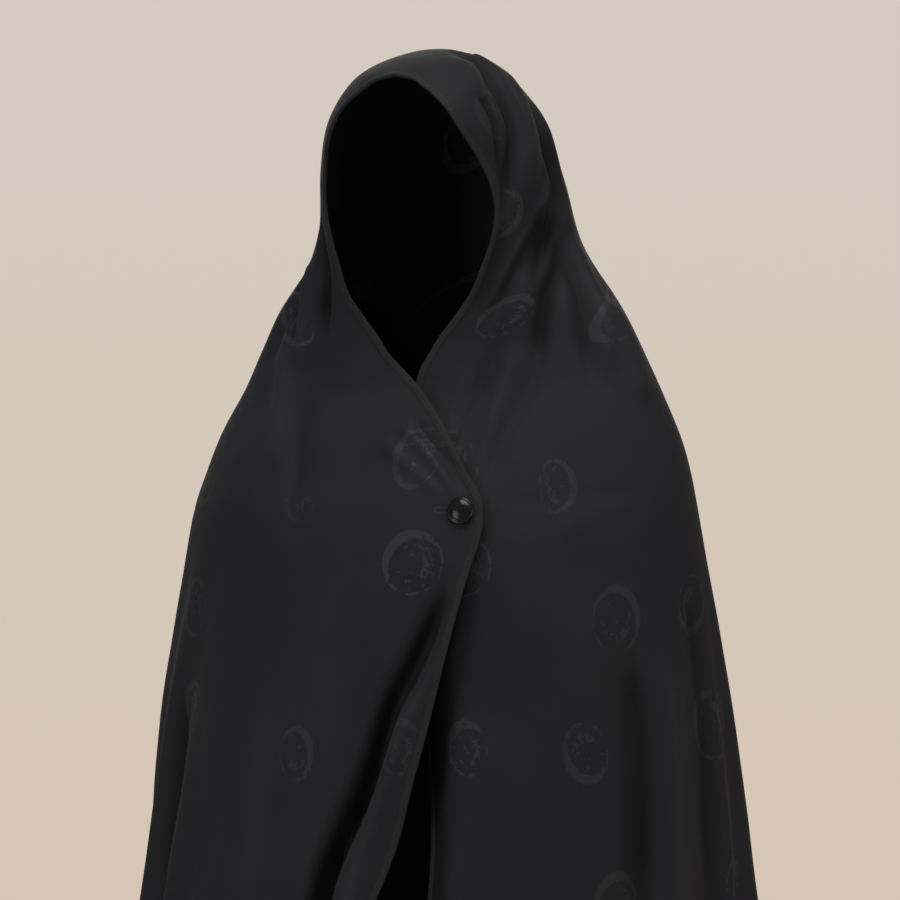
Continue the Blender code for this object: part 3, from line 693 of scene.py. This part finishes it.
def layHem():
    line, up, inward = layHemLine()
    half = cloakSize["thickness"] / 2
    width, proud, beyond = hemSize["width"], hemSize["proud"], hemSize["beyond"]
    face = [(-beyond, 0.25), (-beyond * 0.55, 0.75), (0.12 * width, 1.0), (0.35 * width, 1.1),
            (0.62 * width, 0.95), (0.72 * width, 0.72), (0.80 * width, 0.9), (0.93 * width, 0.75),
            (width, 0.1)]
    outline = [(d, half * min(1, h * 2) + proud * h) for d, h in face]
    outline[0] = (-beyond, half * 0.3)
    outline[-1] = (width, half * 0.5)
    outline += [(d, -n) for d, n in reversed(outline)]
    clearSelection()
    bpy.ops.mesh.primitive_grid_add(x_subdivisions=len(line), y_subdivisions=len(outline), size=1,
                                    location=(0, 0, 0))
    hem = nameNew("rolledHem")
    spots = {}
    lengths = np.concatenate([[0], np.cumsum(np.linalg.norm(np.roll(line, -1, axis=0) - line, axis=1))])
    for i, (p, n, d) in enumerate(zip(line, up, inward)):
        for k, (aside, high) in enumerate(outline):
            spot = Vector(p + d * aside)
            if aside > 0.0004:
                spot = layers.find_nearest(spot)[0]
            spots[i, k] = spot + Vector(n) * high
    hemMap = hem.data.uv_layers[0]
    hemMap.name = "hemMap"
    where = []
    for v in hem.data.vertices:
        i = round((v.co.x + 0.5) * len(line))
        k = round((v.co.y + 0.5) * len(outline))
        where.append((i, k))
        v.co = spots[i % len(line), k % len(outline)]
    for quad in hem.data.polygons:
        for loop, vertex in zip(quad.loop_indices, quad.vertices):
            i, k = where[vertex]
            hemMap.data[loop].uv = (lengths[i], k / len(outline))
    hem.data.update()
    pickOnly(hem)
    bpy.ops.object.mode_set(mode="EDIT")
    bpy.ops.mesh.select_all(action="SELECT")
    bpy.ops.mesh.remove_doubles(threshold=0.00002)
    bpy.ops.mesh.normals_make_consistent(inside=False)
    bpy.ops.object.mode_set(mode="OBJECT")
    smoothShade(hem, 50)
    return hem, lengths[-1]


hem, hemLength = layHem()
print("rolled hem:", round(hemLength, 2), "m round the sheet")

# ---- stitches round the buttonhole

stitchSize = {"long": 0.0023, "thick": 0.00042, "every": 0.00078, "overhang": 0.0008, "lift": 0.00008}


def makeStitch():
    clearSelection()
    bpy.ops.mesh.primitive_uv_sphere_add(segments=8, ring_count=6, radius=0.5, location=(0, 0, 0))
    stitch = nameNew("holeStitch")
    bpy.ops.object.mode_set(mode="EDIT")
    bpy.ops.transform.resize(value=(stitchSize["thick"] * 1.15, stitchSize["thick"], stitchSize["long"]))
    bpy.ops.object.mode_set(mode="OBJECT")
    return stitch


def layStitches():
    pattern = makeStitch()
    halfHigh = holeSize["height"] / 2 + stitchSize["long"] / 2 - stitchSize["overhang"]
    middle = holeSize["fromAxis"] - holeSize["length"] / 2
    halfLong = holeSize["length"] / 2
    places = []
    count = int(holeSize["length"] / stitchSize["every"])
    for i in range(count + 1):
        x = middle - halfLong + i * holeSize["length"] / count
        places += [(x, halfHigh, 0), (x, -halfHigh, 0)]
    for end in (-1, 1):
        for i in range(7):
            y = (i - 3) * stitchSize["every"] * 0.72
            places.append((middle + end * (halfLong + stitchSize["long"] * 0.22), y, 90))
    copies = []
    for x, y, turn in places:
        turn += random.uniform(-7, 7)
        near = flapPoint + buttonLevel * x + buttonUp * y
        spot, normal = layers.ray_cast(near + buttonAxis * 0.004, -buttonAxis)[:2]
        if normal.dot(buttonAxis) < 0:
            normal = -normal
        length = random.uniform(0.92, 1.08)
        across = (buttonUp * math.cos(math.radians(turn)) + buttonLevel * math.sin(math.radians(turn)))
        across = (across - normal * across.dot(normal)).normalized()
        side = across.cross(normal)
        turned = Matrix((side, normal, across * length)).transposed().to_4x4()
        copy = pattern.copy()
        copy.data = pattern.data.copy()
        bpy.context.scene.collection.objects.link(copy)
        onTop = spot + normal * (cloakSize["thickness"] / 2 + stitchSize["lift"])
        copy.data.transform(Matrix.Translation(onTop) @ turned)
        copies.append(copy)
    bpy.data.objects.remove(pattern, do_unlink=True)
    clearSelection()
    for copy in copies:
        copy.select_set(True)
    bpy.context.view_layer.objects.active = copies[0]
    bpy.ops.object.join()
    stitches = nameNew("buttonholeStitches")
    smoothShade(stitches, 80)
    return stitches


stitches = layStitches()
print("buttonhole stitches are laid")

# ---- button: rings drawn up from its collar to the middle of its dome

buttonRings = [
    (0.28, 0.00), (0.30, 0.02), (0.30, 0.24), (0.90, 0.24), (0.96, 0.26), (0.99, 0.33), (1.00, 0.42),
    (0.985, 0.52), (0.94, 0.60), (0.90, 0.645), (0.86, 0.655), (0.82, 0.645), (0.79, 0.615), (0.765, 0.60),
    (0.74, 0.625), (0.70, 0.69), (0.62, 0.775), (0.52, 0.855), (0.40, 0.925), (0.27, 0.97), (0.13, 0.995),
]


def makeButton():
    clearSelection()
    radius, height = buttonSize["radius"], buttonSize["height"]
    bpy.ops.mesh.primitive_circle_add(vertices=buttonSize["segments"], radius=radius * buttonRings[0][0],
                                      fill_type="NGON", location=(0, 0, 0))
    button = nameNew("coatButton")
    bpy.ops.object.mode_set(mode="EDIT")
    bpy.ops.mesh.select_all(action="SELECT")
    for (r0, z0), (r1, z1) in zip(buttonRings, buttonRings[1:]):
        bpy.ops.mesh.extrude_region_move(TRANSFORM_OT_translate={"value": (0, 0, (z1 - z0) * height)})
        bpy.ops.transform.resize(value=(r1 / r0, r1 / r0, 1), center_override=(0, 0, 0))
    bpy.ops.mesh.extrude_region_move(TRANSFORM_OT_translate={"value": (0, 0, 0.005 * height)})
    bpy.ops.mesh.merge(type="CENTER")
    bpy.ops.mesh.select_all(action="SELECT")
    bpy.ops.mesh.normals_make_consistent(inside=False)
    bpy.ops.object.mode_set(mode="OBJECT")
    button.data.transform(seatFrame(buttonBack))
    smoothShade(button, 40)
    return button


button = makeButton()
print("button is turned:", len(button.data.polygons), "faces")

# ---- finishes

# the folded colour and foldDark are painted shade in folds; the ridge colour and its share are painted
# light on ridges
clothLook = {
    "colour": (0.0098, 0.0098, 0.0134), "worn": (0.0150, 0.0149, 0.0178),
    "ring": (0.0245, 0.0242, 0.0285), "folded": (0.0018, 0.0018, 0.0022),
    "paintedRidgeLight": (0.0240, 0.0238, 0.0275), "foldDark": 0.9, "paintedRidgeLightShare": 0.5,
    "roughness": 0.72, "ringRoughness": 0.52, "sheen": 0.04, "sheenRoughness": 0.4, "specular": 0.16,
    "grain": 950, "grainBump": 0.35, "ringRepeat": 0.113, "ringShare": 0.86,
}
hemLook = {
    "colour": (0.0150, 0.0148, 0.0168), "dent": (0.008, 0.008, 0.009), "stitchEvery": 0.0024,
    "puckerEvery": 0.0095,
}
buttonLook = {
    "colour": (0.0045, 0.0045, 0.005), "dust": (0.008, 0.008, 0.009), "specular": 0.22, "roughness": 0.20,
    "coat": 0.05, "coatRoughness": 0.06,
}
threadLook = {
    "colour": (0.0085, 0.0084, 0.0092), "between": (0.009, 0.009, 0.010), "roughness": 0.6, "twist": 2600,
}


def put(tree, kind, **facts):
    node = tree.nodes.new(kind)
    for name, value in facts.items():
        setattr(node, name, value)
    return node


def reckon(tree, operation, first, second=None, third=None):
    node = put(tree, "ShaderNodeMath", operation=operation)
    for i, value in enumerate((first, second, third)):
        if value is None:
            continue
        if isinstance(value, (int, float)):
            node.inputs[i].default_value = value
        else:
            tree.links.new(value, node.inputs[i])
    return node.outputs[0]


def reckonVector(tree, operation, first, second=None, scale=None):
    node = put(tree, "ShaderNodeVectorMath", operation=operation)
    for i, value in enumerate((first, second)):
        if value is None:
            continue
        if isinstance(value, tuple):
            node.inputs[i].default_value = value
        else:
            tree.links.new(value, node.inputs[i])
    if scale is not None:
        if isinstance(scale, (int, float)):
            node.inputs["Scale"].default_value = scale
        else:
            tree.links.new(scale, node.inputs["Scale"])
    return node.outputs["Value" if operation in ("LENGTH", "DOT_PRODUCT") else "Vector"]


def spread(tree, value, low, high):
    # 0 below low, 1 above high, smooth between
    node = put(tree, "ShaderNodeMapRange", interpolation_type="SMOOTHSTEP")
    node.inputs["From Min"].default_value = low
    node.inputs["From Max"].default_value = high
    tree.links.new(value, node.inputs["Value"])
    return node.outputs["Result"]


def newGroup(name, inputs, outputs):
    group = bpy.data.node_groups.new(name, "ShaderNodeTree")
    for label, kind, value in inputs:
        socket = group.interface.new_socket(name=label, in_out="INPUT", socket_type=kind)
        if value is not None:
            socket.default_value = value
    for label, kind in outputs:
        group.interface.new_socket(name=label, in_out="OUTPUT", socket_type=kind)
    return group, put(group, "NodeGroupInput"), put(group, "NodeGroupOutput")


def makeCrepeGrain():
    # pebbled crepe: small uneven grains, yarns that run thick and thin, and a slow change of tone
    group, inside, out = newGroup(
        "crepeGrain",
        [("Vector", "NodeSocketVector", None), ("Grains per metre", "NodeSocketFloat", 950.0)],
        [("Height", "NodeSocketFloat"), ("Fleck", "NodeSocketFloat"), ("Tone", "NodeSocketFloat")],
    )
    links = group.links
    grain = put(group, "ShaderNodeTexNoise", noise_dimensions="3D")
    links.new(inside.outputs["Vector"], grain.inputs["Vector"])
    links.new(inside.outputs["Grains per metre"], grain.inputs["Scale"])
    grain.inputs["Detail"].default_value = 2.0
    pebble = put(group, "ShaderNodeTexVoronoi", feature="SMOOTH_F1")
    links.new(inside.outputs["Vector"], pebble.inputs["Vector"])
    links.new(reckon(group, "MULTIPLY", inside.outputs["Grains per metre"], 0.8), pebble.inputs["Scale"])
    yarnMap = put(group, "ShaderNodeMapping")
    links.new(inside.outputs["Vector"], yarnMap.inputs["Vector"])
    yarnMap.inputs["Scale"].default_value = (900, 60, 60)
    yarn = put(group, "ShaderNodeTexNoise")
    links.new(yarnMap.outputs[0], yarn.inputs["Vector"])
    yarn.inputs["Scale"].default_value = 1.0
    slow = put(group, "ShaderNodeTexNoise")
    links.new(inside.outputs["Vector"], slow.inputs["Vector"])
    slow.inputs["Scale"].default_value = 9.0
    slow.inputs["Detail"].default_value = 3.0
    height = reckon(group, "MULTIPLY_ADD", pebble.outputs["Distance"], -0.5, grain.outputs[0])
    height = reckon(group, "MULTIPLY_ADD", yarn.outputs[0], 0.45, height)
    links.new(height, out.inputs["Height"])
    links.new(spread(group, grain.outputs[0], 0.35, 0.7), out.inputs["Fleck"])
    links.new(spread(group, slow.outputs[0], 0.3, 0.7), out.inputs["Tone"])
    return group


def brushArc(group, radius, angle, seed, size, thick, gaps):
    # an arc of a ring: broad and whole on one side, thin and broken on the other
    turn = reckon(group, "MULTIPLY_ADD", reckon(group, "COSINE", angle), 0.5, 0.5)
    width = reckon(group, "MULTIPLY_ADD", reckon(group, "POWER", turn, 2.0), thick, thick * 0.30)
    centre = reckon(group, "MULTIPLY_ADD", width, -0.6, size)
    apart = reckon(group, "ABSOLUTE", reckon(group, "SUBTRACT", radius, centre))
    apart = reckon(group, "DIVIDE", apart, width)
    arc = reckon(group, "SUBTRACT", 1.0, spread(group, apart, 0.65, 1.0))
    brush = put(group, "ShaderNodeCombineXYZ")
    group.links.new(reckon(group, "MULTIPLY", radius, 16.0), brush.inputs[0])
    group.links.new(reckon(group, "MULTIPLY", reckon(group, "COSINE", angle), 1.9), brush.inputs[1])
    group.links.new(reckon(group, "MULTIPLY_ADD", reckon(group, "SINE", angle), 1.9, seed), brush.inputs[2])
    bristle = put(group, "ShaderNodeTexNoise")
    group.links.new(brush.outputs[0], bristle.inputs["Vector"])
    bristle.inputs["Scale"].default_value = 1.6
    bristle.inputs["Detail"].default_value = 3.0
    kept = reckon(group, "MULTIPLY_ADD", turn, 0.22, bristle.outputs[0])
    return reckon(group, "MULTIPLY", arc, spread(group, kept, gaps, gaps + 0.07))


def makeRingMotif():
    # brushed rings and crescents with short strokes and specks in them, one to a cell, some faint
    group, inside, out = newGroup(
        "ringMotif",
        [("Vector", "NodeSocketVector", None), ("Repeat", "NodeSocketFloat", 0.12),
         ("Share", "NodeSocketFloat", 0.6)],
        [("Mask", "NodeSocketFloat")],
    )
    links = group.links
    flat = reckonVector(group, "SCALE", inside.outputs["Vector"],
                        scale=reckon(group, "DIVIDE", 1.0, inside.outputs["Repeat"]))
    cells = put(group, "ShaderNodeTexVoronoi", voronoi_dimensions="2D", feature="F1")
    links.new(flat, cells.inputs["Vector"])
    cells.inputs["Scale"].default_value = 1.0
    cells.inputs["Randomness"].default_value = 0.55
    dice = put(group, "ShaderNodeSeparateColor")
    links.new(cells.outputs["Color"], dice.inputs[0])
    spots = put(group, "ShaderNodeTexWhiteNoise", noise_dimensions="2D")
    links.new(cells.outputs["Position"], spots.inputs["Vector"])
    rough = put(group, "ShaderNodeTexNoise", noise_dimensions="2D")
    links.new(flat, rough.inputs["Vector"])
    rough.inputs["Scale"].default_value = 26.0
    rough.inputs["Detail"].default_value = 2.0
    shift = reckonVector(group, "SUBTRACT", rough.outputs["Color"], (0.5, 0.5, 0.5))
    shift = reckonVector(group, "SCALE", shift, scale=0.022)
    local = reckonVector(group, "SUBTRACT", flat, cells.outputs["Position"])
    local = reckonVector(group, "ADD", local, shift)
    parts = put(group, "ShaderNodeSeparateXYZ")
    links.new(local, parts.inputs[0])
    squash = reckon(group, "MULTIPLY_ADD", dice.outputs[1], 0.35, 0.62)
    x = reckon(group, "DIVIDE", parts.outputs[0], squash)
    y = parts.outputs[1]
    radius = reckon(group, "SQRT", reckon(group, "ADD", reckon(group, "MULTIPLY", x, x),
                                          reckon(group, "MULTIPLY", y, y)))
    angle = reckon(group, "ARCTAN2", y, x)
    angle = reckon(group, "MULTIPLY_ADD", dice.outputs[0], 6.28, angle)
    size = reckon(group, "MULTIPLY_ADD", dice.outputs[2], 0.06, 0.19)
    seed = reckon(group, "MULTIPLY", spots.outputs["Value"], 60.0)
    ring = brushArc(group, radius, angle, seed, size, 0.034, 0.50)
    innerAngle = reckon(group, "ADD", angle, 2.2)
    inner = brushArc(group, radius, innerAngle, reckon(group, "ADD", seed, 9.0),
                     reckon(group, "MULTIPLY", size, 0.60), 0.030, 0.66)
    speck = put(group, "ShaderNodeTexNoise", noise_dimensions="2D")
    links.new(flat, speck.inputs["Vector"])
    speck.inputs["Scale"].default_value = 21.0
    speck.inputs["Detail"].default_value = 3.0
    near = reckon(group, "SUBTRACT", 1.0, spread(group, reckon(group, "DIVIDE", radius, size), 0.5, 1.25))
    specks = reckon(group, "MULTIPLY", spread(group, speck.outputs[0], 0.66, 0.70), near)
    mask = reckon(group, "MAXIMUM", reckon(group, "MAXIMUM", ring, inner), specks)
    shown = reckon(group, "LESS_THAN", spots.outputs["Value"], inside.outputs["Share"])
    strong = reckon(group, "MULTIPLY_ADD", dice.outputs[1], 0.6, 0.4)
    links.new(reckon(group, "MULTIPLY", reckon(group, "MULTIPLY", mask, shown), strong), out.inputs["Mask"])
    return group


def useGroup(tree, group, **values):
    node = put(tree, "ShaderNodeGroup", node_tree=group)
    for name, value in values.items():
        socket = node.inputs[name.replace("_", " ")]
        if isinstance(value, (int, float)):
            socket.default_value = value
        else:
            tree.links.new(value, socket)
    return node


def newMaterial(name):
    material = bpy.data.materials.new(name)
    material.use_nodes = True
    return material, material.node_tree, material.node_tree.nodes["Principled BSDF"]


def mixColour(tree, factor, first, second):
    node = put(tree, "ShaderNodeMix", data_type="RGBA")
    tree.links.new(factor, node.inputs["Factor"])
    for socket, value in ((node.inputs["A"], first), (node.inputs["B"], second)):
        if isinstance(value, tuple):
            socket.default_value = (*value, 1)
        else:
            tree.links.new(value, socket)
    return node.outputs["Result"]


def addBump(tree, shader, height, strength, distance):
    bump = put(tree, "ShaderNodeBump")
    bump.inputs["Strength"].default_value = strength
    bump.inputs["Distance"].default_value = distance
    tree.links.new(height, bump.inputs["Height"])
    tree.links.new(bump.outputs[0], shader.inputs["Normal"])


def setCloth(shader):
    shader.inputs["Sheen Weight"].default_value = clothLook["sheen"]
    shader.inputs["Sheen Roughness"].default_value = clothLook["sheenRoughness"]
    shader.inputs["Sheen Tint"].default_value = (0.75, 0.75, 0.8, 1)
    shader.inputs["Specular IOR Level"].default_value = clothLook["specular"]


def makeCrepe(grainGroup, ringGroup):
    material, tree, shader = newMaterial("blackCrepe")
    place = put(tree, "ShaderNodeUVMap", uv_map="clothMap").outputs[0]
    grain = useGroup(tree, grainGroup, Vector=place, Grains_per_metre=clothLook["grain"])
    rings = useGroup(tree, ringGroup, Vector=place, Repeat=clothLook["ringRepeat"],
                     Share=clothLook["ringShare"])
    mask = rings.outputs["Mask"]
    base = mixColour(tree, reckon(tree, "MULTIPLY", grain.outputs["Tone"], 0.6), clothLook["colour"],
                     clothLook["worn"])
    base = mixColour(tree, reckon(tree, "MULTIPLY", grain.outputs["Fleck"], 0.3), base, clothLook["worn"])
    base = mixColour(tree, mask, base, clothLook["ring"])
    # painted shade: the crease attribute darkens the colour in folds
    fold = put(tree, "ShaderNodeAttribute", attribute_name="crease").outputs["Fac"]
    deep = reckon(tree, "MULTIPLY", spread(tree, fold, 0.05, 1.0), clothLook["foldDark"])
    base = mixColour(tree, deep, base, clothLook["folded"])
    # painted light: ridges are made lighter in colour
    proud = reckon(tree, "MULTIPLY", spread(tree, reckon(tree, "MULTIPLY", fold, -1.0), 0.05, 1.0),
                   clothLook["paintedRidgeLightShare"])
    base = mixColour(tree, proud, base, clothLook["paintedRidgeLight"])
    tree.links.new(base, shader.inputs["Base Color"])
    rough = reckon(tree, "MULTIPLY_ADD", grain.outputs["Fleck"], 0.06, clothLook["roughness"])
    rough = reckon(tree, "MULTIPLY_ADD", mask, clothLook["ringRoughness"] - clothLook["roughness"], rough)
    tree.links.new(rough, shader.inputs["Roughness"])
    height = reckon(tree, "MULTIPLY_ADD", mask, 0.5, grain.outputs["Height"])
    addBump(tree, shader, height, clothLook["grainBump"], 0.0003)
    setCloth(shader)
    return material


def makeHemCloth(grainGroup):
    # the same crepe, with the dents of its hidden stitches painted darker as shade, and the puckers between
    # them
    material, tree, shader = newMaterial("blackCrepeHem")
    along = put(tree, "ShaderNodeUVMap", uv_map="hemMap").outputs[0]
    place = put(tree, "ShaderNodeTexCoord").outputs["Object"]
    grain = useGroup(tree, grainGroup, Vector=place, Grains_per_metre=clothLook["grain"])
    split = put(tree, "ShaderNodeSeparateXYZ")
    tree.links.new(along, split.inputs[0])
    turns = reckon(tree, "MULTIPLY", split.outputs[0], 2 * math.pi / hemLook["stitchEvery"])
    stitch = spread(tree, reckon(tree, "SINE", turns), 0.1, 0.8)
    row = reckon(tree, "ABSOLUTE", reckon(tree, "SUBTRACT", split.outputs[1], 0.33))
    row = reckon(tree, "SUBTRACT", 1.0, spread(tree, row, 0.02, 0.06))
    dents = reckon(tree, "MULTIPLY", stitch, row)
    pucker = put(tree, "ShaderNodeTexNoise", noise_dimensions="1D")
    tree.links.new(reckon(tree, "DIVIDE", split.outputs[0], hemLook["puckerEvery"]), pucker.inputs["W"])
    pucker.inputs["Scale"].default_value = 1.0
    base = mixColour(tree, reckon(tree, "MULTIPLY", grain.outputs["Tone"], 0.6), hemLook["colour"],
                     clothLook["worn"])
    # painted shade in the stitch dents
    base = mixColour(tree, reckon(tree, "MULTIPLY", dents, 0.6), base, hemLook["dent"])
    tree.links.new(base, shader.inputs["Base Color"])
    rough = reckon(tree, "MULTIPLY_ADD", grain.outputs["Fleck"], 0.08, clothLook["roughness"] - 0.06)
    tree.links.new(rough, shader.inputs["Roughness"])
    height = reckon(tree, "MULTIPLY_ADD", pucker.outputs[0], 2.0, grain.outputs["Height"])
    height = reckon(tree, "MULTIPLY_ADD", dents, -1.6, height)
    addBump(tree, shader, height, 0.4, 0.0004)
    setCloth(shader)
    return material


def makeButtonPlastic():
    # polished, with fine handling scratches and a little dust in patches
    material, tree, shader = newMaterial("blackButtonPlastic")
    place = put(tree, "ShaderNodeTexCoord").outputs["Object"]
    scratch = put(tree, "ShaderNodeTexNoise")
    stretch = put(tree, "ShaderNodeMapping")
    stretch.inputs["Scale"].default_value = (2600, 300, 500)
    stretch.inputs["Rotation"].default_value = (0, 0, 0.6)
    tree.links.new(place, stretch.inputs["Vector"])
    tree.links.new(stretch.outputs[0], scratch.inputs["Vector"])
    scratch.inputs["Scale"].default_value = 1.0
    cloud = put(tree, "ShaderNodeTexNoise")
    tree.links.new(place, cloud.inputs["Vector"])
    cloud.inputs["Scale"].default_value = 240.0
    marks = spread(tree, scratch.outputs[0], 0.6, 0.75)
    tree.links.new(mixColour(tree, cloud.outputs[0], buttonLook["colour"], buttonLook["dust"]),
                   shader.inputs["Base Color"])
    rough = reckon(tree, "MULTIPLY_ADD", marks, 0.09, buttonLook["roughness"])
    tree.links.new(reckon(tree, "MULTIPLY_ADD", cloud.outputs[0], 0.05, rough), shader.inputs["Roughness"])
    shader.inputs["Specular IOR Level"].default_value = buttonLook["specular"]
    shader.inputs["Coat Weight"].default_value = buttonLook["coat"]
    shader.inputs["Coat Roughness"].default_value = buttonLook["coatRoughness"]
    addBump(tree, shader, reckon(tree, "ADD", scratch.outputs[0], cloud.outputs[0]), 0.05, 0.00008)
    return material


def makeThreadCotton():
    # twisted sewing thread
    material, tree, shader = newMaterial("blackSewingThread")
    place = put(tree, "ShaderNodeTexCoord").outputs["Object"]
    turned = put(tree, "ShaderNodeMapping")
    turned.inputs["Rotation"].default_value = (0.5, 0.6, 0.3)
    tree.links.new(place, turned.inputs["Vector"])
    twist = put(tree, "ShaderNodeTexWave", wave_type="BANDS")
    tree.links.new(turned.outputs[0], twist.inputs["Vector"])
    twist.inputs["Scale"].default_value = threadLook["twist"] / 6.28
    twist.inputs["Distortion"].default_value = 0.6
    fuzz = put(tree, "ShaderNodeTexNoise")
    tree.links.new(place, fuzz.inputs["Vector"])
    fuzz.inputs["Scale"].default_value = 3000.0
    tree.links.new(mixColour(tree, twist.outputs["Color"], threadLook["between"], threadLook["colour"]),
                   shader.inputs["Base Color"])
    tree.links.new(reckon(tree, "MULTIPLY_ADD", fuzz.outputs[0], 0.2, threadLook["roughness"] - 0.1),
                   shader.inputs["Roughness"])
    height = reckon(tree, "MULTIPLY_ADD", fuzz.outputs[0], 0.4, twist.outputs["Color"])
    addBump(tree, shader, height, 0.5, 0.0001)
    shader.inputs["Sheen Weight"].default_value = 0.1
    return material


grainGroup = makeCrepeGrain()
ringGroup = makeRingMotif()
crepe = makeCrepe(grainGroup, ringGroup)
hemCloth = makeHemCloth(grainGroup)
plastic = makeButtonPlastic()
cotton = makeThreadCotton()
for piece, finish in ((cloth, crepe), (hem, hemCloth), (stitches, cotton), (button, plastic)):
    piece.data.materials.clear()
    piece.data.materials.append(finish)
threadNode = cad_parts["button_thread"]
threadNode.data.materials.clear()
threadNode.data.materials.append(cotton)
print("finishes are on")

# ---- each piece hangs on the root body, the solid cloak and button are hidden, and the cloth is measured

pieceSlots = ((cloth, "crepe"), (hem, "crepe"), (stitches, "thread"), (button, "button_plastic"))
for piece, slotName in pieceSlots:
    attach(piece, "root")
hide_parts("cloak")
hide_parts("button")
across = points[:-1, 1:] - points[:-1, :-1]
down = points[1:, :-1] - points[:-1, :-1]
clothArea = float(np.linalg.norm(np.cross(across, down), axis=-1).sum())
bottomLength = float(np.linalg.norm(np.diff(points[-1], axis=0), axis=1).sum())
print("cloth area:", round(clothArea, 3), "bottom edge:", round(bottomLength, 3),
      "brow to hem:", round(hoopPlaces[-1], 3))

print("all pieces are named and placed")
